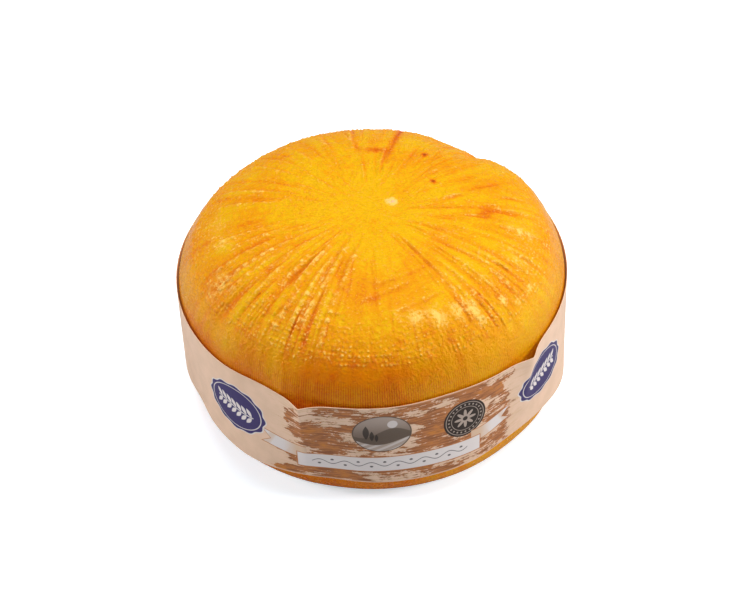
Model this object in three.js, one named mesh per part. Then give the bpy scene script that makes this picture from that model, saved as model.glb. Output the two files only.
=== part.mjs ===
// A wheel of cheese with a glossy orange rind, in a printed paper band.
// Millimetres, +Z up. The wheel stands on z = 0 and its axis is x = y = 0.
// Azimuths are degrees anticlockwise from +X, seen from above. The front is at 270.
import * as THREE from 'three';

// Outline of the wheel
const wheelRadius = 94.6;
const wheelHeight = 103.5;
const widestHeight = 55; // Above it the side curves in to the shoulder
const crownFlatness = 2.8; // Superellipse exponent across the top
const crownFullness = 3.0; // Superellipse exponent down the shoulder
const footWidth = 14.5;
const footHeight = 16;
const footFullness = 2.2; // Superellipse exponent of the rounded foot

// The underside is a little uneven towards its edge, so the wheel stands firmly on five low spots
const lowSpots = 5;
const underLift = 0.4; // Between two low spots
const underFlat = 50; // Radius of the part that is quite flat
const underEdge = 78; // Radius where the lift is full

// Facets of the wheel
const wheelColumns = 150;
const outlineSamples = 240; // Points on each curved stretch before it is cut into rings
const ringZones = [
  { until: 12, step: 6 }, // Middle of the top
  { until: 112, step: 5.5 }, // Creased top and shoulder
  { until: 160, step: 16 }, // Side under the band
  { until: 185, step: 5 }, // Foot
  { until: 260, step: 37 }, // Underside
];

// Paper band
const bandRadius = 96.2;
const bandThickness = 0.5;
const bandHeight = 50;
const bandMiddleHeight = 42.8;
const bandTilt = 1.5; // Degrees, with the back edge higher
const bandSeam = 120; // Azimuth where the glued lap starts
const bandLap = 8; // Degrees of overlap at the lap
const lapRise = 6; // Degrees in which the outer end climbs over the inner one
const lapGap = 0.3;
const bandColumns = 150;
const bandRows = 4;

// Buckles and flat stretches of the band. The spread is in degrees to each side
const topBuckles = [
  { azimuth: 249, spread: 4.5, out: 4.9 },
  { azimuth: 318, spread: 4.5, out: 3.8 },
  { azimuth: 234, spread: 9, out: -1.8 },
  { azimuth: 290, spread: 13, out: -1.6 },
];
const footBuckles = [
  { azimuth: 232, spread: 13, out: 2.3 },
  { azimuth: 203, spread: 8, out: -1.8 },
  { azimuth: 257, spread: 8, out: -1.2 },
  { azimuth: 312, spread: 11, out: -2.0 },
  { azimuth: 339, spread: 9, out: 2.2 },
];

// Broad swells and hollows of the top, round a point at an azimuth and a radius
const swells = [
  { azimuth: 0, radius: 0, across: 15, along: 15, height: -0.9 }, // Dimple in the middle
  { azimuth: 55, radius: 84, across: 18, along: 18, height: -2.7 }, // Slumped rim
  { azimuth: 47, radius: 83, across: 4, along: 12, height: -3.0 }, // Notch in the rim
  { azimuth: 28, radius: 86, across: 14, along: 14, height: 1.0 },
  { azimuth: 112, radius: 84, across: 24, along: 20, height: 0.6 },
  { azimuth: 297, radius: 73, across: 15, along: 8, height: 0.8 }, // Puffed front right
  { azimuth: 275, radius: 56, across: 22, along: 9, height: -0.6 }, // Smooth front hollow
  { azimuth: 176, radius: 60, across: 13, along: 22, height: -0.7 }, // Smooth left hollow
  { azimuth: 215, radius: 84, across: 4, along: 10, height: -0.8 },
];

// Fans of welts and creases that the pressing cloth left in the rind.
// Each azimuth is one fold, and lean is how far it turns between its two ends
const foldFans = [
  { azimuths: [219, 226, 233, 240, 246, 254], near: 30, far: 84, lean: -3, height: 1.0 },
  { azimuths: [229, 243, 250, 257], near: 36, far: 70, lean: -2, height: -0.7 },
  { azimuths: [304, 309, 320, 326, 332, 341], near: 50, far: 87, lean: 0, height: 0.8 },
  { azimuths: [315, 336, 348], near: 46, far: 80, lean: 1, height: -0.8 },
  { azimuths: [353, 4, 12], near: 42, far: 84, lean: 2, height: 0.7 },
  { azimuths: [1, 28, 64, 77], near: 40, far: 88, lean: 2, height: -0.8 },
  { azimuths: [98, 110, 123, 140, 158, 166], near: 42, far: 88, lean: 0, height: 0.6 },
  { azimuths: [95, 117, 132, 149, 162], near: 42, far: 86, lean: 0, height: -0.7 },
  { azimuths: [188, 193, 199, 205, 210], near: 40, far: 86, lean: 0, height: 0.6 },
];
const foldWidth = 1.9;

// Folds that cross the others, each from one azimuth and radius to another
const crossFolds = [
  { from: [271, 50], to: [303, 46], height: 0.8 },
  { from: [261, 61], to: [290, 51], height: 0.6 },
  { from: [275, 67], to: [301, 62], height: 0.8 },
  { from: [6, 30], to: [24, 76], height: -0.9 },
];

// The creases die out just above the band, and the side under it is only a little flat in places
const creasesGone = 63;
const creasesFull = 74;
const flatsGone = 86;

function radians(degrees) {
  return THREE.MathUtils.degToRad(degrees);
}

// The shortest turn between two azimuths, in degrees
function turn(azimuth, other) {
  return THREE.MathUtils.euclideanModulo(azimuth - other + 180, 360) - 180;
}

function bell(offset, spread) {
  return Math.exp(-((offset / spread) ** 2));
}

function planPoint(azimuth, radius) {
  return new THREE.Vector2(radius * Math.cos(radians(azimuth)), radius * Math.sin(radians(azimuth)));
}

// All folds as straight lines in plan
function foldLines() {
  const lines = crossFolds.map(({ from, to, height }) => ({
    start: planPoint(...from),
    end: planPoint(...to),
    height,
  }));
  for (const fan of foldFans) {
    fan.azimuths.forEach((azimuth, index) => {
      const stagger = (index % 2) * 5; // Every second fold starts and stops a little further out
      lines.push({
        start: planPoint(azimuth - fan.lean / 2, fan.near + stagger),
        end: planPoint(azimuth + fan.lean / 2, fan.far - 5 + stagger),
        height: fan.height,
      });
    });
  }
  return lines;
}

// Height that one fold adds at a plan point. It fades towards both ends
function foldHeight(point, line) {
  const along = line.end.clone().sub(line.start);
  const reach = point.clone().sub(line.start);
  const share = THREE.MathUtils.clamp(reach.dot(along) / along.lengthSq(), 0, 1);
  const offset = reach.sub(along.clone().multiplyScalar(share)).length();
  const fade = Math.sqrt(Math.sin(Math.PI * THREE.MathUtils.clamp(share, 0.02, 0.98)));
  return line.height * fade * bell(offset, foldWidth);
}

function swellHeight(point, swell) {
  const radius = point.length();
  if (swell.radius === 0) return swell.height * bell(radius, swell.along);
  const azimuth = THREE.MathUtils.radToDeg(Math.atan2(point.y, point.x));
  const sideways = radians(turn(azimuth, swell.azimuth)) * swell.radius;
  return swell.height * bell(sideways, swell.across) * bell(radius - swell.radius, swell.along);
}

const folds = foldLines();

function creaseHeight(point, z) {
  const fade = THREE.MathUtils.smoothstep(z, creasesGone, creasesFull);
  if (fade === 0) return 0;
  let height = 0;
  for (const swell of swells) height += swellHeight(point, swell);
  for (const line of folds) height += foldHeight(point, line);
  return height * fade;
}

// How far the band stands off its own circle, between its lower edge (0) and its upper edge (1)
function bandStandOff(azimuth, rise) {
  const sum = (buckles) => buckles.reduce(
    (total, buckle) => total + buckle.out * bell(turn(azimuth, buckle.azimuth), buckle.spread),
    0,
  );
  return sum(footBuckles) * (1 - rise) + sum(topBuckles) * rise ** 1.5;
}

// The side is flat where the band lies in
function flatHeight(azimuth, z) {
  const rise = THREE.MathUtils.clamp((z - bandMiddleHeight) / bandHeight + 0.5, 0, 1);
  const lower = THREE.MathUtils.smoothstep(z, 0, footHeight);
  const upper = 1 - THREE.MathUtils.smoothstep(z, creasesGone, flatsGone);
  return Math.min(bandStandOff(azimuth, rise), 0) * lower * upper;
}

// The underside rises between its low spots, and the rise dies out up the foot
function underHeight(point, z) {
  const wave = (1 - Math.cos(lowSpots * Math.atan2(point.y, point.x))) / 2;
  const outer = THREE.MathUtils.smoothstep(point.length(), underFlat, underEdge);
  return -underLift * wave * outer * (1 - THREE.MathUtils.smoothstep(z, 0, footHeight));
}

// How far the rind stands out from the plain turned shape
function relief(position) {
  const point = new THREE.Vector2(position.x, position.y);
  const azimuth = THREE.MathUtils.radToDeg(Math.atan2(point.y, point.x));
  return creaseHeight(point, position.z) + flatHeight(azimuth, position.z) + underHeight(point, position.z);
}

// Outline of the wheel from the middle of the top, over the side, to the middle of the underside
function outline() {
  const points = [];
  for (let i = 0; i <= outlineSamples; i += 1) {
    const angle = (i / outlineSamples) * (Math.PI / 2);
    const radius = wheelRadius * Math.sin(angle) ** (2 / crownFlatness);
    const rise = Math.max(Math.cos(angle), 0) ** (2 / crownFullness);
    points.push(new THREE.Vector2(radius, widestHeight + (wheelHeight - widestHeight) * rise));
  }
  for (let i = 0; i <= outlineSamples; i += 1) {
    const angle = (i / outlineSamples) * (Math.PI / 2);
    const inset = 1 - Math.max(Math.cos(angle), 0) ** (2 / footFullness);
    const drop = Math.sin(angle) ** (2 / footFullness);
    points.push(new THREE.Vector2(wheelRadius - footWidth * inset, footHeight * (1 - drop)));
  }
  points.push(new THREE.Vector2(0, 0));
  return points;
}

// The point of the outline at a distance along it, and the way that it faces there
function outlineAt(points, distance) {
  let left = distance;
  for (let i = 1; i < points.length; i += 1) {
    const step = points[i].clone().sub(points[i - 1]);
    const length = step.length();
    if (left <= length && length > 0) {
      const at = points[i - 1].clone().addScaledVector(step, left / length);
      return { at, facing: new THREE.Vector2(-step.y, step.x).divideScalar(length) };
    }
    left -= length;
  }
  return { at: points.at(-1).clone(), facing: new THREE.Vector2(0, -1) };
}

// Rings of the wheel, from the middle of the underside to the middle of the top
function rings() {
  const points = outline();
  const list = [outlineAt(points, 0)];
  let distance = 0;
  for (const zone of ringZones) {
    const count = Math.round((zone.until - distance) / zone.step);
    const step = (zone.until - distance) / count;
    for (let i = 0; i < count; i += 1) {
      distance += step;
      list.push(outlineAt(points, distance));
    }
  }
  list.push({ at: points.at(-1).clone(), facing: new THREE.Vector2(0, -1) });
  list[0].facing.set(0, 1);
  return list.reverse();
}

function wheelGeometry() {
  const list = rings();
  const geometry = new THREE.LatheGeometry(list.map((ring) => ring.at), wheelColumns);
  geometry.rotateX(Math.PI / 2);
  const vertices = geometry.attributes.position;
  const vertex = new THREE.Vector3();
  for (let i = 0; i < vertices.count; i += 1) {
    const { at, facing } = list[i % list.length];
    vertex.fromBufferAttribute(vertices, i);
    const outward = at.x > 0 ? new THREE.Vector2(vertex.x, vertex.y).normalize() : new THREE.Vector2();
    const height = relief(vertex);
    vertex.x += outward.x * facing.x * height;
    vertex.y += outward.y * facing.x * height;
    vertex.z += facing.y * height;
    vertices.setXYZ(i, vertex.x, vertex.y, vertex.z);
  }
  geometry.computeVertexNormals();
  return geometry;
}

// A flat strip, bent round the wheel until its ends lap
function bandGeometry() {
  const sweep = 360 + bandLap;
  const geometry = new THREE.BoxGeometry(
    sweep, bandThickness, bandHeight, bandColumns, 1, bandRows,
  );
  const vertices = geometry.attributes.position;
  for (let i = 0; i < vertices.count; i += 1) {
    const turned = vertices.getX(i) + sweep / 2;
    const azimuth = bandSeam + turned;
    const rise = vertices.getZ(i) / bandHeight + 0.5;
    const lift = THREE.MathUtils.smoothstep(turned, 360 - lapRise, 360) * (bandThickness + lapGap);
    const radius = bandRadius + bandStandOff(azimuth, rise) + lift - vertices.getY(i);
    const { x, y } = planPoint(azimuth, radius);
    vertices.setXYZ(i, x, y, bandMiddleHeight + vertices.getZ(i) + y * Math.tan(radians(bandTilt)));
  }
  geometry.computeVertexNormals();
  return geometry;
}

function makeWheel() {
  const rind = new THREE.MeshStandardMaterial({ color: 0xf2a414, roughness: 0.35, metalness: 0 });
  const mesh = new THREE.Mesh(wheelGeometry(), rind);
  mesh.name = 'cheese';
  return mesh;
}

function makeBand() {
  const paper = new THREE.MeshStandardMaterial({ color: 0xc9a98b, roughness: 0.55, metalness: 0 });
  const mesh = new THREE.Mesh(bandGeometry(), paper);
  mesh.name = 'band';
  return mesh;
}

const cheeseWheel = new THREE.Group();
cheeseWheel.add(makeWheel(), makeBand());

export default cheeseWheel;
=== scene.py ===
import math

import bpy
import numpy as np
from mathutils import Matrix, Vector


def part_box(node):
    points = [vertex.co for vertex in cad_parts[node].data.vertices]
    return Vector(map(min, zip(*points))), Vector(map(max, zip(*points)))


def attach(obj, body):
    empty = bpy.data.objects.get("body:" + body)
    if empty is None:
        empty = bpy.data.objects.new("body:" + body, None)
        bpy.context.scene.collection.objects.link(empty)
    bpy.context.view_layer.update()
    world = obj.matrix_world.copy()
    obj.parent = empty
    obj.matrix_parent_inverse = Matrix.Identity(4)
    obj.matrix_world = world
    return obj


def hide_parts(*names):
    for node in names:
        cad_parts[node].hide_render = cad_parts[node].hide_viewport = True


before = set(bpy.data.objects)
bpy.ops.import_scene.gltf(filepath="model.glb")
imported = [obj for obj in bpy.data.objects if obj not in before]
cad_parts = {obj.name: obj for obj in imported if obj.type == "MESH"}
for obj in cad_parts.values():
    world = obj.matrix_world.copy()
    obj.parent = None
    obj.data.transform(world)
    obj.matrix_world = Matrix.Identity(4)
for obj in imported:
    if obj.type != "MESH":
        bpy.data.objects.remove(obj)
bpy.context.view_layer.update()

MM = 0.001
FRONT = 270
random = np.random.default_rng(11)

# Outline of the wheel
cheese_low, cheese_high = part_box("cheese")
CROWN_DIP = 0.4  # The middle of the top lies this much under the plain outline
WHEEL_RADIUS = (cheese_high.x - cheese_low.x) / 2 / MM
WHEEL_HEIGHT = cheese_high.z / MM + CROWN_DIP
WIDEST_HEIGHT = 55
CROWN_FLATNESS = 2.8
CROWN_FULLNESS = 3.0
FOOT_WIDTH = 14.5
FOOT_HEIGHT = 16
FOOT_FULLNESS = 2.2
OUTLINE_SAMPLES = 2000

# Rings of the wheel's mesh: the distance where a zone ends, its step, and its columns
THREADS = 264  # Threads of the pressing cloth round the shoulder
RING_ZONES = (
    (20, 1.2, THREADS),
    (68, 0.9, 2 * THREADS),
    (93, 0.54, 4 * THREADS),
    (118, 2.1, 4 * THREADS),
    (160, 14, 2 * THREADS),
    (186, 2.2, THREADS),
    (262, 19, THREADS),
)
LAST_STEP = 12  # The least step from the last ring to the middle of the underside

# Broad swells and hollows of the top: azimuth, radius, spread across, spread along, height
SWELLS = (
    (0, 0, 15, 15, -0.9),
    (55, 84, 18, 18, -2.7),
    (47, 83, 4, 12, -3.0),
    (28, 86, 14, 14, 1.0),
    (112, 84, 24, 20, 0.6),
    (297, 73, 15, 8, 0.8),
    (275, 56, 22, 9, -0.6),
    (176, 60, 13, 22, -0.7),
    (215, 84, 4, 10, -0.8),
)

# Creases of the pressing cloth, each from one azimuth and distance to another
BEADED_RIDGES = (
    (240, 33, 240, 82), (246.5, 22, 245, 62), (245, 59, 243.5, 77), (257, 28, 254, 52),
    (254, 49, 252.2, 90), (225, 40, 226.5, 62), (231, 30, 233, 62), (236, 58, 235, 88),
)
RIDGES = (
    (218, 45, 221, 78), (305, 55, 305, 84), (308, 50, 309, 86), (312.5, 45, 312.5, 90),
    (320, 52, 320, 82), (325.5, 66, 325.5, 92), (331.5, 52, 331, 82), (341, 66, 341, 92),
    (353, 58, 353, 82), (3, 62, 4, 88), (6, 28, 16, 46), (98, 50, 97, 78), (110, 55, 109, 80),
    (123, 48, 123, 84), (140, 45, 139, 84), (157.5, 42, 157, 78), (166, 44, 166, 82),
    (188, 42, 187, 80), (193, 40, 193, 70), (199, 46, 200, 84), (205, 40, 206, 80), (210, 46, 211, 86),
)
FRONT_RIDGES = (
    (272, 50, 289, 47), (287, 47.5, 303, 46), (262, 60.5, 276, 55), (274, 56, 291, 51),
    (276, 67.5, 289, 63.5), (287, 64, 301, 62.5),
)
# Broad soft welts at the front left, and the sharp dark folds between them
WELTS = (
    (220.3, 58, 219.5, 92), (224.8, 60, 224.3, 90), (232, 50, 233, 90), (239, 44, 240, 88),
    (249.3, 50, 250, 90),
)
FOLDS = (
    (217, 62, 216, 93), (228, 46, 229.8, 90), (245.5, 46, 246.8, 90), (235, 44, 236, 78),
    (222.3, 66, 221.8, 91),
)

# Grooves with pigment in them, and fine red lines
GROOVES = (
    (250, 33, 250, 50), (242.5, 42, 242.5, 55), (229.5, 42, 229.5, 62), (213, 50, 218, 65),
    (215, 70, 215, 98), (197, 46, 197, 78), (316, 43, 316, 78), (335.5, 52, 335.5, 75),
    (357, 50, 2, 63), (2, 61, 1, 74), (17, 48, 23, 78), (28, 43, 28, 62), (64, 46, 64, 60),
    (76.5, 38, 77, 108), (95, 48, 95, 62), (117, 50, 117, 80), (131, 66, 132, 82),
    (148, 42, 150, 80), (162, 46, 162, 80), (181, 50, 180, 82), (348, 48, 348, 78),
)
RED_LINES = (
    (247, 58, 247.5, 90), (253.5, 70, 253, 90), (237, 68, 236, 87), (241, 76, 241.5, 90),
    (334, 58, 333.5, 86), (77, 38, 77, 112), (1.5, 56, 1, 72), (254.8, 53, 256.5, 54),
)

# Each kind of crease, as crease_values takes it. The paleness of a ridge is a painted highlight, and the
# pigment on its flank is partly pooled pigment and partly painted shade
CREASE_KINDS = (
    dict(creases=BEADED_RIDGES, width=1.1, height=1.0, beads=0.35, groove=0.35, pigment=1.0, painted_highlight=0.75),
    dict(creases=RIDGES, width=1.0, height=0.55, beads=0.25, groove=0.3, pigment=1.0, painted_highlight=0.6),
    dict(creases=FRONT_RIDGES, width=0.9, height=0.5, groove=0.2, pigment=0.7, painted_highlight=0.5),
    dict(creases=WELTS, width=2.3, height=0.65, beads=0.1, ridge_pigment=-0.45, painted_highlight=0.12),
    dict(creases=FOLDS, width=0.75, height=-0.5, ridge_pigment=1.2),
    dict(creases=GROOVES, width=1.5, height=-0.45, ridge_pigment=0.9),
    dict(creases=RED_LINES, width=0.5, height=-0.15, ridge_pigment=1.2),
)
MOST_GATHERED = 1.7  # The most pigment that lies in creases, however many cross
BEAD_STEP = 4.6  # Between two beads along a ridge

# Section of a crease, in widths: how far it reaches, and its groove and the flank beside the ridge that
# takes pigment, partly pooled pigment and partly painted shade
CREASE_REACH = 5
RIDGE_SHARPNESS = 1.7
GROOVE_OFFSET = 1.7
GROOVE_WIDTH = 0.8
FLANK_OFFSET = 1.4
FLANK_WIDTH = 1.1
RIDGE_UNEVENNESS = 0.25  # A beaded ridge is also wider and narrower by turns
RIDGE_WAVE = 0.9

# Fine creases at random places. The shares say how many of those drawn are kept: few where the
# rind is smooth and all where the cloth was gathered, and there they are longer.
# Fine creases also have a painted highlight along the ridge
FINE_KIND = dict(width=0.62, height=0.25, beads=0.2, groove=0.8, pigment=0.65, painted_highlight=0.25)
FINE_CREASES = 170
FINE_START = (14, 66)
FINE_LENGTH = (12, 42)
FINE_LEAN = 3
FINE_END = 92
SMOOTH_SPANS = ((258, 300), (165, 185))
GATHERED_SPANS = ((185, 258), (300, 345))
SMOOTH_SHARE = 0.15
PLAIN_SHARE = 0.45
GATHERED_SHARE = 1
GATHERED_LENGTH = 1.6

# Pigment that has gathered or is missing: azimuth, distance, spread across, spread along, strength
SPECKS = (
    (193, 37, 3.5, 3.5, 0.8), (209, 42, 4, 1.6, 0.9), (216, 60, 1.5, 2.5, 0.8), (230, 57, 1.5, 3, 0.7),
    (231, 76, 1.5, 2, 0.7), (246.5, 84, 1.2, 2, 0.6), (225, 90, 5, 2.5, 0.6), (279, 82, 3, 2, 0.6),
    (295, 87, 3, 2, 0.5), (313, 74, 1, 1.3, 1.4), (319, 79, 1.5, 2, 0.7), (337, 50, 2.5, 3, 0.7),
    (34.5, 38.5, 1.9, 1.0, 4.5), (58, 54, 1.5, 1.8, 3.5), (94, 37, 2, 2.5, 0.5), (135, 47, 3, 4, 0.5),
)
STREAKS = (
    (86, 50, 6, 2.5, 2.0), (77, 76, 2.0, 22, 0.9), (290.3, 73, 1.3, 6, 0.5), (298, 75, 1.3, 6, 0.5),
    (304.6, 76, 1.1, 6, 0.5),
)
BROAD_STAINS = (
    (176, 60, 12, 12, 0.45), (200, 82, 13, 9, 0.4), (206, 80, 7, 8, 0.3), (358, 57, 5, 3.5, 1.0),
    (20, 62, 5, 12, 0.6), (48, 50, 14, 9, 0.4), (197, 60, 8, 12, 0.35), (277, 54, 26, 14, 0.75),
    (62, 40, 14, 14, 0.25), (92, 60, 16, 14, 0.3), (5, 50, 12, 12, 0.3), (190, 72, 7, 6, -0.3),
    (317, 62, 12, 13, -0.5), (12, 80, 16, 12, -0.35), (335, 70, 16, 14, -0.4),
)
STAINS = SPECKS + STREAKS + BROAD_STAINS

# Pale patches of the rind, in the same way. The glossy ones are the smooth ones at the front right, and
# their paleness is a painted highlight on a rind that is also less rough there
GLOSSY_HIGHLIGHT_PATCHES = (
    (286.3, 71, 3.9, 4.8, 1.4), (294, 73.5, 4.0, 5.2, 1.5), (301.5, 75.5, 2.7, 4.5, 1.5),
    (307.5, 78, 2.6, 5, 1.4),
)
# Painted highlights and sheen on the lumps, knobs and sides, and the pale bare chip near the middle, the
# two at 33 and 22 degrees
PALE_PATCHES_AND_HIGHLIGHTS = (
    (319, 82.5, 2, 2, 1.8), (331, 88, 3, 1.8, 1.0), (308, 85, 2.4, 2.4, 0.9), (323.5, 88, 2, 2, 0.9),
    (320, 71, 2, 3, 0.6), (280, 69, 2.4, 3.5, 0.6), (206, 82, 8, 8, 0.9), (190, 72, 6, 5, 0.6),
    (352, 74, 6, 7, 0.8), (338, 76, 8, 8, 0.6), (33, 12.4, 2.3, 1.8, 5.0), (22, 13.6, 1.6, 1.1, 3.0),
    (214, 99, 24, 3, 0.45), (177, 76, 10, 5, 0.5),
)

GLOSSY_SHOULDER = (90, 95)  # From here down the rind is glossy all round

# Pigment and painted shade that come in towards the side: azimuth, spread in degrees, distances where it
# starts and where it is full, strength. The deeper orange all round the side, at the front and along the
# band at the left and right is painted shade, and the yellower rind at the front right is painted light
# from the right
ALL_ROUND = math.inf
PIGMENT_AND_PAINTED_SHADE = (
    (0, ALL_ROUND, 25, 60, 0.15), (0, ALL_ROUND, 60, 84, 0.45), (0, ALL_ROUND, 88, 98, 0.2),
    (266, 32, 85, 97, 1.0), (328, 32, 82, 100, -0.35), (212, 30, 101, 111, 1.0), (345, 25, 101, 111, 0.8),
)
MIDDLE_PIGMENT = -0.15
# Painted shade: the foot by the floor is darker and deeper orange
FOOT_PAINTED_SHADE = 0.65
FOOT_SHADE = (10, 24)  # Heights where the shade of the foot starts to fade and is gone

# Soft clouds of pigment all over the rind: size and strength
CLOUDS = ((30, 0.14), (9, 0.1))

# Faint radial streaks, from waves over azimuth and distance as scaled here
STREAK_SCALE = (1.5, 0.12)
STREAK_WAVES = 20
STREAK_SIZE = 6
STREAK_STRENGTH = 0.12
STREAKS_START = (20, 45)
STREAKS_END = (100, 110)

# Smooth and lumpy patches of the top: azimuth, distance, spread in degrees, spread along
SMOOTH_PATCHES = ((280, 50, 22, 22), (176, 62, 12, 22))
SMOOTHNESS = 0.8  # Share of the lumps that is missing there
LUMPY_PATCH = (206, 82, 9, 10)

# Small lumps of the rind: size and height
COARSE_LUMPS = (7, 0.09)
FINE_LUMPS = (2.6, 0.085)
FINE_LUMP_WAVES = 24
EXTRA_LUMPS = 0.11  # Added to the height of the fine lumps in the lumpy patch
FINE_LUMPS_END = (92, 95)

# Rows of knots that the cloth left round the shoulder. They are weak at first and strong further
# down, but at the front left they are strong all the way.
ROW_STEP = 2.17
KNOTS_START = (67, 77)
KNOTS_WEAK = 0.3
KNOTS_STRONG = (76, 88)
KNOTS_STRONG_PLACE = (240, 20, 4)  # Azimuth, spread in degrees, sharpness
KNOTS_LOST = 0.6  # Share of them that is missing in the lumpy patch
KNOTS_END = 92.5
KNOTS_END_BLUR = 0.6

# Each knot: its least strength and what chance adds, and in shares of a cell of the weave, across and
# along, its size and how far it strays
KNOT_LEAST = 0.15
KNOT_ADDED = 0.95
KNOT_UNEVENNESS = 1.8
KNOT_SIZE = (0.29, 0.27)
KNOT_STRAY = (0.3, 0.2)
KNOT_HEIGHT = 0.66
# The knots are painted pale as a highlight on them
KNOT_HIGHLIGHT = 1.3
KNOT_PIGMENT = -0.9
BETWEEN_KNOTS = 0.25  # Pigment between the knots
BETWEEN_FRONT_KNOTS = (260, 14, 0.35)  # More of it at the front: azimuth, spread in degrees, strength

# Upright ribs of the cloth down the side
RIB_ZONE = (97, 104)
RIB_HEIGHT = 0.14
RIB_PIGMENT = -0.6
RIBS_FAINT = (205, 28, 0.7)  # Azimuth, spread in degrees, share of them that is missing there

# The creases die out just above the band, and the side under it is only a little flat in places
CREASES_GONE = 63
CREASES_FULL = 74
FLATS_GONE = 86
SIDE_SWELL = 0.85  # The rind swells a little towards the band
SWELL_MIDDLE = 64
SWELL_SPREAD = 15

# Paper band
BAND_RADIUS = 96.2
BAND_THICKNESS = 0.25
BAND_HEIGHT = 50
BAND_MIDDLE_HEIGHT = 42.8
BAND_TILT = 1.5
BAND_SEAM = 120
BAND_LAP = 8
LAP_RISE = 6
LAP_GAP = 0.15
BAND_COLUMNS = 736
BAND_ROWS = 24

# Buckles and flat stretches of the band: azimuth, spread in degrees, how far out, sharpness
TOP_BUCKLES = ((249, 3.6, 5.4, 1.2), (318, 4.0, 4.2, 1.4), (234, 9, -1.8, 2), (290, 13, -1.6, 2))
FOOT_BUCKLES = (
    (232, 13, 2.3, 2), (203, 8, -1.8, 2), (257, 8, -1.2, 2), (312, 11, -2.0, 2), (339, 9, 2.2, 2),
)

# Places on the flat strip of the band, in millimetres: u runs round from the front to the right,
# v up from the lower edge
PANEL_MIDDLE = 14
PANEL_HALF = 62
BACK_PANEL_TURN = 302  # From the middle of the front panel, both ways
BACK_PANEL_HALF = 50
BADGES_MIDDLE = (10.0, 27.0)
BADGES_SPREAD = 84
VIGNETTE_MIDDLE = (2.0, 33.0)
TREES = ((-5.5, 31.0, 9.0), (-2.8, 30.0, 6.5), (-0.6, 29.5, 5.0))  # Place and height of each
SEAL_MIDDLE = (43.0, 31.0)
RIBBON_MIDDLE = (6.0, 11.0)

# Colours, as linear light
YELLOW = (0.71, 0.38, 0.002)
ORANGE = (0.71, 0.275, 0.001)
DEEP_ORANGE = (0.66, 0.175, 0.001)
RED_ORANGE = (0.56, 0.085, 0.002)
RED_BROWN = (0.26, 0.045, 0.003)
# Pale rind, used mostly for painted highlights; then the bare chip's colour, used also for the brightest
# painted highlights
PALE_RIND_AND_HIGHLIGHT = (0.88, 0.54, 0.12)
FLAKE_AND_HIGHLIGHT = (0.82, 0.46, 0.25)
RIND_GLOSS = (1.0, 0.62, 0.12)
PAPER = (0.72, 0.485, 0.34)
PAPER_SHADE = (0.66, 0.445, 0.305)
# Inside of the paper, painted lighter and more orange for the light the rind throws onto it
PAPER_INSIDE_AND_BOUNCE = (0.90, 0.60, 0.34)
PAPER_GLOW = (0.80, 0.45, 0.20)
TAN = (0.58, 0.36, 0.20)
BROWN = (0.44, 0.15, 0.040)
DARK_BROWN = (0.24, 0.080, 0.025)
RUST = (0.54, 0.18, 0.022)
VIOLET = (0.05, 0.035, 0.12)
RIBBON = (0.66, 0.585, 0.55)
INK = (0.036, 0.024, 0.018)
DARK_GREY = (0.11, 0.075, 0.052)
SLATE = (0.19, 0.13, 0.095)
SOFT_GREY = (0.38, 0.29, 0.235)
BLACK = (0.0, 0.0, 0.0)
FLOOR_WHITE = (0.86, 0.92, 0.99)
FLOOR_SHADE = (0.85, 0.91, 0.98)
FLOOR_GLOW_WHITE = (0.86, 0.96, 1.0)
SURROUND_WHITE = (0.97, 0.985, 1.0)

# Colour of the rind by how much pigment is in it, painted shade included
PIGMENT_COLOURS = (
    (-0.4, YELLOW), (0.7, ORANGE), (1.5, DEEP_ORANGE), (2.5, RED_ORANGE), (4.0, RED_BROWN),
)

# Fineness of the rind's and the paper's textures, the rind's per metre and the paper's per millimetre
GRAIN = 720.0
MOTTLE = 240.0
CLOUD = 60.0
DOTS = 620.0
FIBRE = 2.4
PAPER_MOTTLE = 0.12

# Depth in metres of the finest relief
RIND_BUMP = 0.0008
PAPER_BUMP = 0.00005

LIGHT_THROUGH_PAPER = 0.12  # Makes up for the light that real paper lets through to its inner face

# Camera
CAMERA_PLACE = Vector((0, -0.7364, 0.7239))
CAMERA_AIM = Vector((0.00115, 0, 0.0445))
CAMERA_ROLL = -2.05
LENS = 96
SENSOR = 36

# Brightness of the surround, straight and in reflections
SURROUND = 0.165
SURROUND_IN_GLOSS = 0.04
FLOOR_IN_GLOSS = 0.5  # Share of the floor's brightness that shows in the gloss
FLOOR_GLOW = 0.56  # The floor glows a little, but lights nothing by that, so shadows on it stay pale
FLOOR_HALF = 6000

# Lamps: name, place, size, how bright each makes a white floor, and whether it shows in the gloss
LAMPS = (
    ("overhead", (0, 0.85, 2.2), 1.6, 0.62, False),
    ("key", (0.68, 0.02, 1.70), 0.62, 0.28, True),
    ("right", (1.5, -0.25, 0.8), 0.45, 0.28, True),
    ("left", (-1.5, -0.05, 0.8), 0.45, 0.23, True),
)


def smooth(value, low, high):
    share = np.clip((value - low) / (high - low), 0, 1)
    return share * share * (3 - 2 * share)


def bell(offset, spread, sharpness=2):
    return np.exp(-np.abs(offset / spread) ** sharpness)


def turn(azimuth, other):
    """The shortest turn between two azimuths, in degrees."""
    return (azimuth - other + 180) % 360 - 180


def waves(x, y, size, count=14):
    """Soft noise of about one, from waves of about one length that run every way."""
    total = 0
    for _ in range(count):
        way, phase = random.uniform(0, 2 * math.pi, 2)
        length = size * random.uniform(0.7, 1.4)
        total = total + np.cos(2 * math.pi * (x * math.cos(way) + y * math.sin(way)) / length + phase)
    return total * math.sqrt(2 / count)


def dice(column, row):
    """A fixed random number from 0 to 1 for each cell of a grid, from far digits of a sine."""
    value = np.sin(column * 12.9898 + row * 78.233) * 43758.5453
    return value - np.floor(value)


def cosine(angle):
    return np.clip(np.cos(angle), 0, 1)


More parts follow.
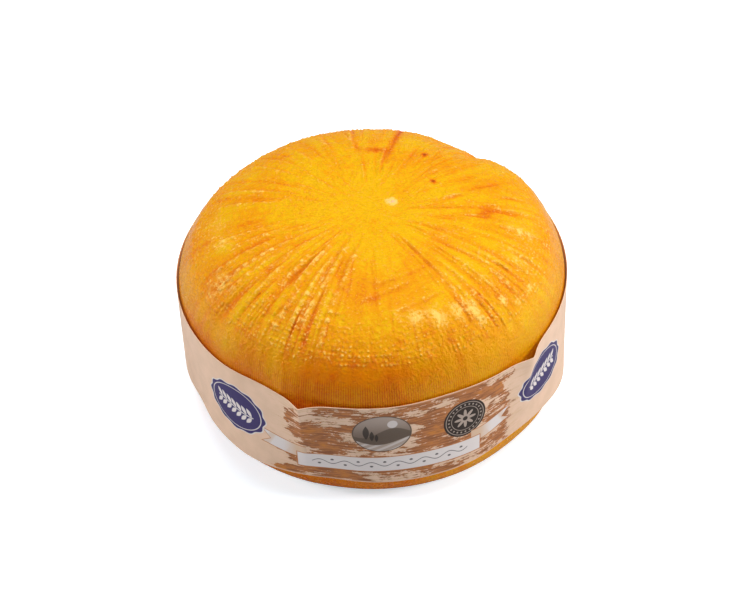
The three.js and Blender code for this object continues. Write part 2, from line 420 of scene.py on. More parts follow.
def outline():
    """Distance, radius, height and facing of points along the outline, from the middle of the top."""
    angle = np.linspace(0, math.pi / 2, OUTLINE_SAMPLES)
    crown_rise = cosine(angle) ** (2 / CROWN_FULLNESS)
    foot_inset = 1 - cosine(angle) ** (2 / FOOT_FULLNESS)
    foot_drop = np.sin(angle) ** (2 / FOOT_FULLNESS)
    crown = WHEEL_RADIUS * np.sin(angle) ** (2 / CROWN_FLATNESS)
    underside = np.linspace(WHEEL_RADIUS - FOOT_WIDTH, 0, OUTLINE_SAMPLES)[1:]
    radius = np.concatenate([crown, WHEEL_RADIUS - FOOT_WIDTH * foot_inset, underside])
    height = np.concatenate([
        WIDEST_HEIGHT + (WHEEL_HEIGHT - WIDEST_HEIGHT) * crown_rise,
        FOOT_HEIGHT * (1 - foot_drop),
        0 * underside,
    ])
    step = np.hypot(np.diff(radius), np.diff(height))
    kept = np.concatenate([[True], step > 1e-9])
    radius, height = radius[kept], height[kept]
    distance = np.concatenate([[0], np.hypot(np.diff(radius), np.diff(height)).cumsum()])
    outward = -np.gradient(height, distance)
    upward = np.gradient(radius, distance)
    return distance, radius, height, outward, upward


OUTLINE = outline()


def outline_at(distance):
    return [np.interp(distance, OUTLINE[0], values) for values in OUTLINE[1:]]


def plan_point(azimuth, radius):
    angle = np.radians(azimuth)
    return radius * np.cos(angle), radius * np.sin(angle)


def crease_place(x, y, crease):
    """How far a point lies along a crease, as a share and in millimetres, and its offset from it."""
    start_azimuth, start_distance, end_azimuth, end_distance = crease
    end_azimuth = start_azimuth + turn(end_azimuth, start_azimuth)
    start = plan_point(start_azimuth, outline_at(start_distance)[0])
    end = plan_point(end_azimuth, outline_at(end_distance)[0])
    along = np.subtract(end, start)
    length = np.hypot(*along)
    reach = (x - start[0]) * along[0] / length + (y - start[1]) * along[1] / length
    side = (y - start[1]) * along[0] / length - (x - start[0]) * along[1] / length
    share = np.clip(reach / length, 0, 1)
    past = reach - share * length
    return share, reach, np.copysign(np.hypot(side, past), side)


def crease_fade(share):
    return np.sqrt(np.sin(math.pi * np.clip(share, 0.02, 0.98)))


def within(azimuth, spans):
    return any(low < azimuth < high for low, high in spans)


def fine_creases():
    """Radial folds at random, few where the rind is smooth and long where the cloth was gathered."""
    creases = []
    while len(creases) < FINE_CREASES:
        azimuth = random.uniform(0, 360)
        start = random.uniform(*FINE_START)
        length = random.uniform(*FINE_LENGTH)
        lean = random.uniform(-FINE_LEAN, FINE_LEAN)
        draw = random.uniform()
        share = PLAIN_SHARE
        if within(azimuth, SMOOTH_SPANS):
            share = SMOOTH_SHARE
        if within(azimuth, GATHERED_SPANS):
            share = GATHERED_SHARE
            length *= GATHERED_LENGTH
        if draw < share:
            creases.append((azimuth, start, azimuth + lean, min(start + length, FINE_END)))
    return creases


def crease_values(
    x, y, creases, width, height, beads=0, groove=0, pigment=0, ridge_pigment=0, painted_highlight=0,
):
    """Relief, colouring and painted highlight of one kind of crease: the ridge is painted pale as a
    highlight, and the flank beside it gets pigment that is partly painted shade. The groove lies beside the
    ridge.
    """
    relief, stain_and_shade, pale = np.zeros((3, len(x)))
    for crease in creases:
        share, reach, offset = crease_place(x, y, crease)
        near = np.abs(offset) < CREASE_REACH * width
        share, reach, offset = share[near], reach[near], offset[near]
        fade = crease_fade(share)
        beading = 1 + beads * np.sin(2 * math.pi * reach / BEAD_STEP + crease[0])
        ridge_width = width * (1 + RIDGE_UNEVENNESS * beads * np.cos(reach * RIDGE_WAVE))
        ridge = bell(offset, ridge_width, RIDGE_SHARPNESS)
        beside = bell(offset + GROOVE_OFFSET * width, GROOVE_WIDTH * width)
        flank = bell(offset + FLANK_OFFSET * width, FLANK_WIDTH * width)
        relief[near] += height * fade * (ridge * beading - groove * beside)
        # The pigment on the flank is partly painted shade
        stain_and_shade[near] += fade * (pigment * flank + ridge_pigment * ridge)
        # Painted highlight along the ridge, brightest on its beads
        pale[near] += fade * painted_highlight * ridge * beading ** 2
    return relief, stain_and_shade, pale


def all_creases(x, y):
    """Relief, colouring and painted highlight of the creases of every kind. The pigment on the flanks is
    partly painted shade.
    """
    kinds = (*CREASE_KINDS, dict(creases=fine_creases(), **FINE_KIND))
    relief, gathered, pale = np.sum([crease_values(x, y, **kind) for kind in kinds], 0)
    return relief, MOST_GATHERED * np.tanh(gathered / MOST_GATHERED), pale


def swell_height(x, y):
    radius = np.hypot(x, y)
    azimuth = np.degrees(np.arctan2(y, x))
    total = np.zeros_like(x)
    for place, swell_radius, across, along, height in SWELLS:
        sideways = np.radians(turn(azimuth, place)) * swell_radius
        total += height * bell(sideways, across) * bell(radius - swell_radius, along)
    return total


def spots(azimuth, distance, radius, table):
    total = np.zeros_like(radius)
    for place, middle, across, along, strength in table:
        sideways = np.radians(turn(azimuth, place)) * radius
        total += strength * bell(sideways, across) * bell(distance - middle, along)
    return total


def patch(azimuth, distance, place):
    """1 in the middle of a patch and less away from it."""
    middle_azimuth, middle_distance, across, along = place
    return bell(turn(azimuth, middle_azimuth), across) * bell(distance - middle_distance, along)


def lump_height(x, y, azimuth, distance, creased):
    """Small lumps all over the top, low in the smooth patches and high in the lumpy one."""
    smooth_front, smooth_left = (patch(azimuth, distance, place) for place in SMOOTH_PATCHES)
    size, height = COARSE_LUMPS
    coarse = height * waves(x, y, size) * creased
    size, height = FINE_LUMPS
    height = height + EXTRA_LUMPS * patch(azimuth, distance, LUMPY_PATCH)
    fine = height * waves(x, y, size, FINE_LUMP_WAVES) * (1 - smooth(distance, *FINE_LUMPS_END))
    return (coarse + fine) * (1 - SMOOTHNESS * np.maximum(smooth_front, smooth_left))


def knots(azimuth, distance):
    """Rows of small knots round the shoulder, 0 to 1, and the zone that they lie in."""
    column = azimuth / 360 * THREADS
    row = (distance - KNOTS_END) / ROW_STEP
    cell_column, cell_row = np.floor(column), np.floor(row)
    strength = KNOT_LEAST + KNOT_ADDED * dice(cell_column, cell_row) ** KNOT_UNEVENNESS
    across = column - cell_column - 0.5 + KNOT_STRAY[0] * (dice(cell_column + 7, cell_row) - 0.5)
    along = row - cell_row - 0.5 + KNOT_STRAY[1] * (dice(cell_column, cell_row + 5) - 0.5)
    knot = strength * bell(across, KNOT_SIZE[0]) * bell(along, KNOT_SIZE[1])
    place, spread, sharpness = KNOTS_STRONG_PLACE
    strong = np.maximum(smooth(distance, *KNOTS_STRONG), bell(turn(azimuth, place), spread, sharpness))
    end = smooth(distance, KNOTS_END - KNOTS_END_BLUR, KNOTS_END + KNOTS_END_BLUR)
    zone = (KNOTS_WEAK + (1 - KNOTS_WEAK) * strong) * smooth(distance, *KNOTS_START) * (1 - end)
    return knot * zone * (1 - KNOTS_LOST * patch(azimuth, distance, LUMPY_PATCH)), zone


def ribs(azimuth, distance):
    """Fine upright ribs of the cloth down the side, -1 to 1, and fainter at the far left."""
    place, spread, lost = RIBS_FAINT
    rib = np.cos(np.radians(azimuth) * 2 * THREADS) * smooth(distance, *RIB_ZONE)
    return rib * (1 - lost * bell(turn(azimuth, place), spread))


def buckles(azimuth, table):
    return sum(out * bell(turn(azimuth, place), spread, sharp) for place, spread, out, sharp in table)


def band_stand_off(azimuth, rise):
    """How far the band stands off its own circle, between its lower edge (0) and its upper edge (1)."""
    return buckles(azimuth, FOOT_BUCKLES) * (1 - rise) + buckles(azimuth, TOP_BUCKLES) * rise ** 1.5


def flat_height(azimuth, height):
    """The side is flat where the band lies in."""
    rise = np.clip((height - BAND_MIDDLE_HEIGHT) / BAND_HEIGHT + 0.5, 0, 1)
    zone = smooth(height, 0, FOOT_HEIGHT) * (1 - smooth(height, CREASES_GONE, FLATS_GONE))
    return np.minimum(band_stand_off(azimuth, rise), 0) * zone


def pigment_and_painted_shade(x, y, azimuth, distance, height):
    """Clouds, radial streaks and broad bands of colour, with painted shade towards the side and at the
    foot.
    """
    total = MIDDLE_PIGMENT + FOOT_PAINTED_SHADE * (1 - smooth(height, *FOOT_SHADE))
    for size, strength in CLOUDS:
        total += strength * waves(x, y, size)
    across, along = azimuth * STREAK_SCALE[0], distance * STREAK_SCALE[1]
    streaks = waves(across, along, STREAK_SIZE, STREAK_WAVES)
    streaks *= smooth(distance, *STREAKS_START) * (1 - smooth(distance, *STREAKS_END))
    total += STREAK_STRENGTH * streaks
    for place, spread, start, full, strength in PIGMENT_AND_PAINTED_SHADE:
        total += strength * bell(turn(azimuth, place), spread) * smooth(distance, start, full)
    return total


def rind_surface(azimuth, distance):
    """Points of the rind in millimetres, with how much orange is at each (partly painted shade), how pale
    it is (mostly painted highlights) and its gloss.
    """
    radius, height, outward, upward = outline_at(distance)
    x, y = plan_point(azimuth, radius)
    creased = smooth(height, CREASES_GONE, CREASES_FULL)
    knot, knotted = knots(azimuth, distance)
    rib = ribs(azimuth, distance)
    relief, stain_and_shade, pale = all_creases(x, y)
    relief += swell_height(x, y) + lump_height(x, y, azimuth, distance, creased)
    relief *= creased
    relief += KNOT_HEIGHT * knot + RIB_HEIGHT * rib * smooth(height, 0, FOOT_HEIGHT)
    relief += flat_height(azimuth, height) + SIDE_SWELL * bell(height - SWELL_MIDDLE, SWELL_SPREAD)
    # Painted shade comes in here with the broad bands and the foot
    stain_and_shade += spots(azimuth, distance, radius, STAINS) + pigment_and_painted_shade(x, y, azimuth, distance, height)
    place, spread, strength = BETWEEN_FRONT_KNOTS
    stain_and_shade += (BETWEEN_KNOTS + strength * bell(turn(azimuth, place), spread)) * knotted
    stain_and_shade += KNOT_PIGMENT * knot + RIB_PIGMENT * rib
    glossy = spots(azimuth, distance, radius, GLOSSY_HIGHLIGHT_PATCHES)
    # The paleness from the patches and the knots is mostly painted highlight
    pale += glossy + spots(azimuth, distance, radius, PALE_PATCHES_AND_HIGHLIGHTS) + KNOT_HIGHLIGHT * knot
    gloss = glossy + smooth(distance, *GLOSSY_SHOULDER) + patch(azimuth, distance, LUMPY_PATCH) + knot
    x, y = plan_point(azimuth, radius + outward * relief)
    return np.stack([x, y, height + upward * relief], -1), dict(stain_and_shade=stain_and_shade, pale=pale, gloss=gloss)


def ring_list():
    """Distance and number of columns of every ring, from the middle of the top outwards."""
    rings = [(0, 1)]
    reached = 0
    for until, step, columns in RING_ZONES:
        until = min(until, OUTLINE[0][-1] - LAST_STEP)
        count = max(1, round((until - reached) / step))
        rings += [(reached + (until - reached) * (i + 1) / count, columns) for i in range(count)]
        reached = until
    rings.append((OUTLINE[0][-1], 1))
    return rings


def ring_faces(first, count, next_first, next_count):
    """Faces between two rings. One has as many columns as the other, twice as many, or is a point."""
    columns = max(count, next_count)
    inner_step = columns // count
    outer_step = columns // next_count
    faces = []
    for i in range(columns):
        j = i + 1
        face = [
            first + i // inner_step,
            next_first + i // outer_step,
            next_first + j // outer_step % next_count,
            first + j // inner_step % count,
        ]
        corners = list(dict.fromkeys(face))
        if len(corners) > 2:
            faces.append(corners)
    return faces


def smooth_mesh(name, points, faces):
    mesh = bpy.data.meshes.new(name)
    mesh.from_pydata((points * MM).tolist(), [], faces)
    mesh.update()
    mesh.shade_smooth()
    piece = bpy.data.objects.new(name, mesh)
    bpy.context.scene.collection.objects.link(piece)
    return piece


def add_values(piece, name, values):
    attribute = piece.data.attributes.new(name, "FLOAT", "POINT")
    attribute.data.foreach_set("value", values.astype(np.float32))


def make_cheese():
    rings = ring_list()
    azimuth = np.concatenate([np.arange(count) * 360 / count for _, count in rings])
    distance = np.concatenate([np.full(count, place, float) for place, count in rings])
    points, values = rind_surface(azimuth, distance)
    faces = []
    first = 0
    for (_, count), (_, next_count) in zip(rings, rings[1:]):
        faces += ring_faces(first, count, first + count, next_count)
        first += count
    piece = smooth_mesh("cheese_wheel", points, faces)
    for name, value in values.items():
        add_values(piece, name, value)
    return piece


def band_points(side):
    """One side of the band, outer (1) or inner (-1), and the place of each point on the flat strip."""
    turned = np.linspace(0, 360 + BAND_LAP, BAND_COLUMNS + 1)[:, None]
    rise = np.linspace(0, 1, BAND_ROWS + 1)[None, :]
    azimuth = BAND_SEAM + turned + 0 * rise
    lift = smooth(turned, 360 - LAP_RISE, 360) * (BAND_THICKNESS + LAP_GAP)
    radius = BAND_RADIUS + band_stand_off(azimuth, rise) + lift + side * BAND_THICKNESS / 2
    x, y = plan_point(azimuth, radius)
    height = BAND_MIDDLE_HEIGHT + (rise - 0.5) * BAND_HEIGHT + y * math.tan(math.radians(BAND_TILT))
    u = (azimuth - FRONT) * math.radians(BAND_RADIUS)
    v = rise * BAND_HEIGHT + 0 * turned
    return np.stack([x, y, height], -1).reshape(-1, 3), np.stack([u, v, 0 * x], -1).reshape(-1, 3)


def band_faces(count):
    """Faces of the outer side of the band, and those of its inner side and its edges."""
    def face(*corners):
        return [column * (BAND_ROWS + 1) + row + back * count for column, row, back in corners]

    outer, inner, edges = [], [], []
    for left in range(BAND_COLUMNS):
        right = left + 1
        for low in range(BAND_ROWS):
            top = low + 1
            outer.append(face((left, low, 0), (right, low, 0), (right, top, 0), (left, top, 0)))
            inner.append(face((left, low, 1), (left, top, 1), (right, top, 1), (right, low, 1)))
        top = BAND_ROWS
        edges.append(face((left, 0, 1), (right, 0, 1), (right, 0, 0), (left, 0, 0)))
        edges.append(face((left, top, 0), (right, top, 0), (right, top, 1), (left, top, 1)))
    for low in range(BAND_ROWS):
        top = low + 1
        end = BAND_COLUMNS
        edges.append(face((0, low, 1), (0, low, 0), (0, top, 0), (0, top, 1)))
        edges.append(face((end, low, 0), (end, low, 1), (end, top, 1), (end, top, 0)))
    return outer, inner + edges


def sharpen_band(piece, count):
    """Marks the four edges of the paper as sharp."""
    edges = piece.data.edges
    ends = np.zeros(2 * len(edges), np.int32)
    edges.foreach_get("vertices", ends)
    column, row = np.divmod(ends.reshape(-1, 2) % count, BAND_ROWS + 1)
    limits = ((row, 0), (row, BAND_ROWS), (column, 0), (column, BAND_COLUMNS))
    sharp = np.any([(place == limit).all(1) for place, limit in limits], 0)
    edges.foreach_set("use_edge_sharp", sharp)


def make_band():
    outer, strip = band_points(1)
    inner, _ = band_points(-1)
    printed, plain = band_faces(len(outer))
    piece = smooth_mesh("paper_band", np.concatenate([outer, inner]), printed + plain)
    attribute = piece.data.attributes.new("strip", "FLOAT_VECTOR", "POINT")
    attribute.data.foreach_set("vector", np.concatenate([strip, strip]).ravel().astype(np.float32))
    materials = np.repeat(np.array([0, 1], np.int32), [len(printed), len(plain)])
    piece.data.polygons.foreach_set("material_index", materials)
    sharpen_band(piece, len(outer))
    return piece


class Term:
    """A value in a node tree. Arithmetic on it adds math nodes."""

    def __init__(self, tree, socket):
        self.tree = tree
        self.socket = socket

    def math(self, operation, *others):
        node = self.tree.nodes.new("ShaderNodeMath")
        node.operation = operation
        for place, value in enumerate((self, *others)):
            connect(self.tree, value, node.inputs[place])
        return Term(self.tree, node.outputs[0])

    def __add__(self, other):
        return self.math("ADD", other)

    def __radd__(self, other):
        return self.math("ADD", other)

    def __sub__(self, other):
        return self.math("SUBTRACT", other)

    def __rsub__(self, other):
        return self.math("MULTIPLY", -1.0).math("ADD", other)

    def __mul__(self, other):
        return self.math("MULTIPLY", other)

    def __truediv__(self, other):
        return self.math("DIVIDE", other)

    def __abs__(self):
        return self.math("ABSOLUTE")

    def sin(self):
        return self.math("SINE")

    def cos(self):
        return self.math("COSINE")

    def length(self, other):
        return (self * self + other * other).math("SQRT")

    def most(self, other):
        return self.math("MAXIMUM", other)

    def smooth(self, low, high, start=0.0, end=1.0):
        """Goes smoothly from start to end between two values."""
        node = self.tree.nodes.new("ShaderNodeMapRange")
        node.interpolation_type = "SMOOTHSTEP"
        for place, value in zip(node.inputs[:5], (self, low, high, start, end)):
            connect(self.tree, value, place)
        return Term(self.tree, node.outputs[0])

    def under(self, limit, softness=0.12):
        """1 where the value is under the limit and 0 over it."""
        return self.smooth(limit - softness, limit + softness, 1.0, 0.0)


def connect(tree, value, socket):
    if isinstance(value, Term):
        tree.links.new(value.socket, socket)
    elif socket.type == "RGBA":
        socket.default_value = (*value, 1)
    else:
        socket.default_value = value


class Paint:
    """A material under construction."""

    def __init__(self, name):
        self.material = bpy.data.materials.new(name)
        self.material.use_nodes = True
        self.tree = self.material.node_tree
        self.shader = self.tree.nodes["Principled BSDF"]

    def attribute(self, name, output="Fac"):
        node = self.tree.nodes.new("ShaderNodeAttribute")
        node.attribute_name = name
        return Term(self.tree, node.outputs[output])

    def ray(self, kind):
        """1 for rays of that kind, as the light path node names them."""
        return Term(self.tree, self.tree.nodes.new("ShaderNodeLightPath").outputs[kind])

    def place(self):
        """The place on the piece, in metres."""
        return Term(self.tree, self.tree.nodes.new("ShaderNodeTexCoord").outputs["Object"])

    def split(self, vector):
        node = self.tree.nodes.new("ShaderNodeSeparateXYZ")
        connect(self.tree, vector, node.inputs[0])
        return [Term(self.tree, output) for output in node.outputs]

    def join(self, *values):
        node = self.tree.nodes.new("ShaderNodeCombineXYZ")
        for place, value in enumerate(values):
            connect(self.tree, value, node.inputs[place])
        return Term(self.tree, node.outputs[0])

    def noise(self, vector, scale, detail=2.0, roughness=0.5):
        node = self.tree.nodes.new("ShaderNodeTexNoise")
        for name, value in dict(Vector=vector, Scale=scale, Detail=detail, Roughness=roughness).items():
            connect(self.tree, value, node.inputs[name])
        return Term(self.tree, node.outputs["Fac"])

    def cells(self, vector, scale):
        node = self.tree.nodes.new("ShaderNodeTexVoronoi")
        connect(self.tree, vector, node.inputs["Vector"])
        connect(self.tree, scale, node.inputs["Scale"])
        return Term(self.tree, node.outputs["Distance"])

    def mix(self, first, second, factor):
        node = self.tree.nodes.new("ShaderNodeMix")
        node.data_type = "RGBA"
        # Of the node's sockets, 6 and 7 take the two colours and 2 gives the mixed one
        connect(self.tree, factor, node.inputs[0])
        connect(self.tree, first, node.inputs[6])
        connect(self.tree, second, node.inputs[7])
        return Term(self.tree, node.outputs[2])

    def ramp(self, value, stops):
        """A colour that goes through the stops, each a value and a colour."""
        colour = stops[0][1]
        for (low, _), (high, following) in zip(stops, stops[1:]):
            colour = self.mix(colour, following, value.smooth(low, high))
        return colour

    def bump(self, height, distance):
        node = self.tree.nodes.new("ShaderNodeBump")
        connect(self.tree, height, node.inputs["Height"])
        node.inputs["Distance"].default_value = distance
        connect(self.tree, Term(self.tree, node.outputs[0]), self.shader.inputs["Normal"])

    def finish(self, **settings):
        """Sets the shader's inputs, with underscores for the spaces in their names."""
        for name, value in settings.items():
            connect(self.tree, value, self.shader.inputs[name.replace("_", " ")])
        return self.material


def rind_material():
    paint = Paint("rind")
    place = paint.place()
    stain_and_shade = paint.attribute("stain_and_shade")
    pale = paint.attribute("pale")
    gloss = paint.attribute("gloss")
    grain = paint.noise(place, GRAIN, 3.0, 0.6)
    mottle = paint.noise(place, MOTTLE, 3.0, 0.6)
    cloud = paint.noise(place, CLOUD, 3.0, 0.55)
    plain = gloss.smooth(0.0, 1.0, 1.0, 0.35)
    # The orange here includes painted shade
    pigment = stain_and_shade + (mottle - 0.5) * 0.7 + (cloud - 0.5) * 0.5 + (grain - 0.5) * plain * 3.2
    colour = paint.ramp(pigment, PIGMENT_COLOURS)
    broken = mottle.smooth(0.42, 0.58) * 0.35 + grain.smooth(0.44, 0.56) * 0.35
    dots = paint.cells(place, DOTS).smooth(0.2, 0.45, 1.0, 0.0) * mottle.smooth(0.4, 0.6) * plain
    # Pale specks and dots of the grain, partly painted glints, and the pale attribute, mostly painted
    # highlight
    pale_specks_and_highlights = grain.smooth(0.54, 0.68) * plain * 0.4 + dots * 0.4 + pale * (broken + 0.25)
    colour = paint.mix(colour, PALE_RIND_AND_HIGHLIGHT, pale_specks_and_highlights.smooth(0.13, 1.2))
    colour = paint.mix(colour, FLAKE_AND_HIGHLIGHT, pale_specks_and_highlights.smooth(1.6, 2.6))
    paint.bump(grain * 0.9 + mottle * 0.6, RIND_BUMP)
    return paint.finish(
        Base_Color=colour,
        Roughness=0.40 + mottle * 0.12 - gloss.smooth(0.0, 1.0) * 0.20,
        Specular_IOR_Level=0.45,
        Specular_Tint=RIND_GLOSS,
    )


def disc(u, v, middle, radius):
    """1 within a circle on the strip."""
    return (u - middle[0]).length(v - middle[1]).under(radius, 0.15)


def ring(distance, radius, width):
    """1 on a ring of that width."""
    return abs(distance - radius).under(width / 2)


def leaf(u, v, middle, angle, length, width):
    """1 within a pointed leaf."""
    cos, sin = math.cos(math.radians(angle)), math.sin(math.radians(angle))
    along = ((u - middle[0]) * cos + (v - middle[1]) * sin) / (length / 2)
    across = ((v - middle[1]) * cos - (u - middle[0]) * sin) / (width / 2)
    return (along * along + abs(across)).under(1.0)


def print_badge(paint, colour, u, v):
    """Two violet scalloped ovals with a pale sprig, one on each side of the front panel."""
    oval, radius, scallops, scallop_depth = 1.4, 12.9, 12.0, 0.4
    sprig_wave, leaf_step = 0.18, 3.2
    side = abs(u - BADGES_MIDDLE[0]) - BADGES_SPREAD
    height = v - BADGES_MIDDLE[1]
    reach = (side / oval).length(height)
    angle = height.math("ARCTAN2", side / oval)
    edge = reach - (angle * scallops).cos() * scallop_depth
    colour = paint.mix(colour, RIBBON, edge.under(radius + 0.5))
    colour = paint.mix(colour, VIOLET, edge.under(radius))
    colour = paint.mix(colour, RIBBON, ring(reach, radius - 1.5, 0.35))
    sprig = abs(height - (side * sprig_wave).sin()).under(0.3) * abs(side).under(11.5)
    for step in range(-3, 4):
        along = step * leaf_step
        for way in (1, -1):
            middle = (along + 0.7, math.sin(along * sprig_wave) + way * 2.4)
            sprig = sprig.most(leaf(side, height, middle, way * 52, 5.2, 2.1))
    return paint.mix(colour, RIBBON, sprig)


def print_vignette(paint, colour, u, v):
    """A small round landscape of two hills under a sun."""
    oval, radius = 1.2, 11.5
    reach = ((u - VIGNETTE_MIDDLE[0]) / oval).length(v - VIGNETTE_MIDDLE[1])
    far_hill = (v - 33.5 - (u * 0.21).sin() * 3.0).under(0.0, 0.3)
    near_hill = (v - 28.0 + (u * 0.17).cos() * 2.2).under(0.0, 0.3)
    furrows = (u * 0.9 - v * 1.9).sin().smooth(-0.1, 0.5)
    picture = paint.mix(SLATE, SOFT_GREY, v.smooth(30.0, 44.0))
    picture = paint.mix(picture, DARK_GREY, far_hill * 0.85)
    picture = paint.mix(picture, paint.mix(SOFT_GREY, RIBBON, furrows * 0.5), near_hill)
    picture = paint.mix(picture, RIBBON, disc(u, v, (7.0, 39.0), 2.4) * 0.8)
    for tree_u, tree_v, size in TREES:
        tree = leaf(u, v, (tree_u, tree_v + size / 2 - 1.5), 90, size, size / 3)
        picture = paint.mix(picture, INK, tree * 0.85)
    colour = paint.mix(colour, picture, reach.under(radius))
    return paint.mix(colour, DARK_GREY, ring(reach, radius, 0.5))


def print_seal(paint, colour, u, v):
    """A dark round seal with a rosette in a ring."""
    across, height = u - SEAL_MIDDLE[0], v - SEAL_MIDDLE[1]
    reach = across.length(height)
    angle = height.math("ARCTAN2", across)
    colour = paint.mix(colour, INK, reach.under(11.2))
    marks = ring(reach, 10.0, 0.35).most(ring(reach, 7.2, 0.3))
    dots = ring(reach, 8.6, 0.9) * (angle * 24.0).cos().smooth(0.2, 0.7)
    petals = (reach - (angle * 8.0).cos() * 1.7).under(4.0) * reach.smooth(1.1, 1.5)
    return paint.mix(colour, SOFT_GREY, marks.most(dots).most(petals))


def print_ribbon(paint, colour, u, v):
    """A pale ribbon with folded, cut ends and a thin vine."""
    half_length, half_width, rim = 45.0, 4.6, 0.5
    across = u - RIBBON_MIDDLE[0]
    past = abs(across) - half_length
    offset = v - RIBBON_MIDDLE[1] - (across * 0.03).cos() * 1.6
    raised = offset - 5.4 - past.smooth(-2.0, 22.0) * 4.0

    def tails(margin):
        notch = 19.0 + margin - (half_width - abs(raised)) * 1.2
        inside = abs(raised).under(half_width * 0.85 + margin)
        return inside * (past + 5.0).smooth(0.0, 0.3) * (past - notch).under(0.0)

    def body(margin):
        return abs(offset).under(half_width + margin) * (past - margin).under(0.0)

    ripples = (past * 0.55 + raised * 0.25).sin().smooth(0.3, 1.0) * 0.45
    folds = past.smooth(-1.0, 8.0, 0.8, 0.0).most(ripples)
    colour = paint.mix(colour, BROWN, tails(rim) * 0.85)
    colour = paint.mix(colour, paint.mix(RIBBON, TAN, folds), tails(0.0))
    colour = paint.mix(colour, BROWN, body(rim) * 0.85)
    colour = paint.mix(colour, RIBBON, body(0.0))
    phase = across * 0.5
    vine = abs(offset - phase.sin() * 1.3).under(0.24)
    berries = (offset + phase.sin() * 1.5).length(phase.cos() * 1.5).under(0.6)
    inside = abs(across).under(half_length - 7.0)
    return paint.mix(colour, INK, vine.most(berries) * inside * 0.85)


def worn_panels(u, grain):
    """1 where the strip looks like worn wood: a stretch at the front and one like it at the back."""
    ragged = (grain - 0.5) * 60.0
    front = abs(u - PANEL_MIDDLE + ragged).under(PANEL_HALF, 8.0)
    back = abs(abs(u - PANEL_MIDDLE) - BACK_PANEL_TURN + ragged).under(BACK_PANEL_HALF, 8.0)
    return front.most(back)


def print_wood(paint, colour, u, v):
    """Brown worn wood on the panels, with ragged ends and streaks along the strip."""
    patches = paint.noise(paint.join(u * 0.05, v * 0.11, 0.0), 1.0, 6.0, 0.6)
    streaks = paint.noise(paint.join(u * 0.1, v * 0.9, 4.0), 1.0, 5.0, 0.65)
    flecks = paint.noise(paint.join(u * 0.5, v * 0.9, 9.0), 1.0, 4.0, 0.7)
    panel = worn_panels(u, patches)
    worn = (patches * 0.75 + streaks * 0.3 + flecks * 0.25 + (panel - 1.0) * 0.5).smooth(0.61, 0.64)
    wood = paint.mix(BROWN, DARK_BROWN, streaks.smooth(0.42, 0.6))
    wood = paint.mix(wood, RUST, patches.smooth(0.56, 0.66) * 0.8)
    colour = paint.mix(colour, TAN, panel * streaks.smooth(0.45, 0.6) * 0.6)
    return paint.mix(colour, wood, worn * 0.95)


def print_material():
    paint = Paint("printed_paper")
    strip = paint.attribute("strip", "Vector")
    u, v, _ = paint.split(strip)
    mottle = paint.noise(strip, PAPER_MOTTLE, 3.0, 0.5)
    fibre = paint.noise(strip, FIBRE, 2.0, 0.6)
    colour = paint.mix(PAPER, PAPER_SHADE, mottle.smooth(0.3, 0.7))
    for layer in (print_wood, print_vignette, print_seal, print_ribbon, print_badge):
        colour = layer(paint, colour, u, v)
    edge = v.under(0.7, 0.3).most((BAND_HEIGHT - v).under(0.5, 0.3))
    colour = paint.mix(colour, PAPER, edge * 0.7)
    paint.bump(fibre, PAPER_BUMP)
    return paint.finish(Base_Color=colour, Roughness=0.38 + fibre * 0.2, Specular_IOR_Level=0.15)


def paper_material():
    paint = Paint("plain_paper")
    fibre = paint.noise(paint.attribute("strip", "Vector"), FIBRE, 2.0, 0.6)
    paint.bump(fibre, PAPER_BUMP)
    return paint.finish(
        # The inner side is painted with light bounced from the rind
        Base_Color=paint.mix(PAPER_INSIDE_AND_BOUNCE, PAPER, fibre),
        Roughness=0.55 + fibre * 0.2,
        Emission_Color=PAPER_GLOW,
        Emission_Strength=LIGHT_THROUGH_PAPER,
    )


def floor_material():
    paint = Paint("floor")
    colour = paint.mix(FLOOR_WHITE, FLOOR_SHADE, paint.noise(paint.place(), 1.5))
    share = paint.ray("Is Glossy Ray").smooth(0.0, 1.0, 1.0, FLOOR_IN_GLOSS)
    return paint.finish(
        Base_Color=paint.mix(BLACK, colour, share),
        Roughness=0.7,
        Specular_IOR_Level=0.1,
        Emission_Color=FLOOR_GLOW_WHITE,
        Emission_Strength=paint.ray("Is Camera Ray") * FLOOR_GLOW,
    )


def make_floor():
    corners = [(x * FLOOR_HALF, y * FLOOR_HALF, 0) for x, y in ((-1, -1), (1, -1), (1, 1), (-1, 1))]
    floor = smooth_mesh("floor", np.array(corners, float), [[0, 1, 2, 3]])
    floor.data.materials.append(floor_material())


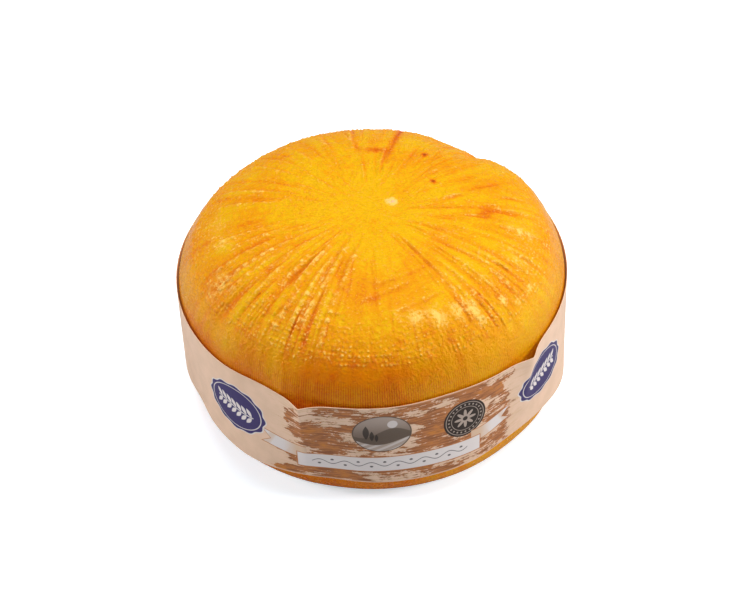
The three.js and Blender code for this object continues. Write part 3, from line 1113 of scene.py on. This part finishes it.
def add_lamp(name, place, size, level, glossy):
    """A square lamp that looks at the wheel. Its level is how bright it makes a white floor."""
    place = Vector(place)
    data = bpy.data.lights.new(name, "AREA")
    data.size = size
    data.energy = level / place.normalized().z * math.pi ** 2 * place.length_squared
    lamp = bpy.data.objects.new(name, data)
    bpy.context.scene.collection.objects.link(lamp)
    lamp.rotation_euler = (-place).to_track_quat("-Z", "Y").to_euler()
    lamp.location = place
    lamp.visible_glossy = glossy


def light_world():
    """A white surround that shows only faintly in the gloss, as in a dark studio."""
    world = bpy.data.worlds.new("studio")
    bpy.context.scene.world = world
    world.use_nodes = True
    nodes, links = world.node_tree.nodes, world.node_tree.links
    background = nodes["Background"]
    background.inputs["Color"].default_value = (*SURROUND_WHITE, 1)
    rays = nodes.new("ShaderNodeLightPath")
    level = nodes.new("ShaderNodeMapRange")
    level.inputs["To Min"].default_value = SURROUND
    level.inputs["To Max"].default_value = SURROUND_IN_GLOSS
    links.new(rays.outputs["Is Glossy Ray"], level.inputs["Value"])
    links.new(level.outputs[0], background.inputs["Strength"])


def light_scene():
    light_world()
    for lamp in LAMPS:
        add_lamp(*lamp)


def place_camera():
    data = bpy.data.cameras.new("camera")
    data.lens = LENS
    data.sensor_width = SENSOR
    camera = bpy.data.objects.new("camera", data)
    bpy.context.scene.collection.objects.link(camera)
    back = (CAMERA_PLACE - CAMERA_AIM).normalized()
    right = Vector((0, 0, 1)).cross(back).normalized()
    axes = Matrix((right, back.cross(right), back)).transposed()
    roll = Matrix.Rotation(math.radians(CAMERA_ROLL), 4, "Z")
    camera.matrix_world = Matrix.Translation(CAMERA_PLACE) @ axes.to_4x4() @ roll
    bpy.context.scene.camera = camera


def build():
    cheese = make_cheese()
    cheese.data.materials.append(rind_material())
    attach(cheese, "root")
    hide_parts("cheese")
    band = make_band()
    band.data.materials.append(print_material())
    band.data.materials.append(paper_material())
    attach(band, "root")
    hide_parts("band")
    make_floor()
    light_scene()
    place_camera()
    bpy.context.scene.view_settings.view_transform = "Standard"


build()
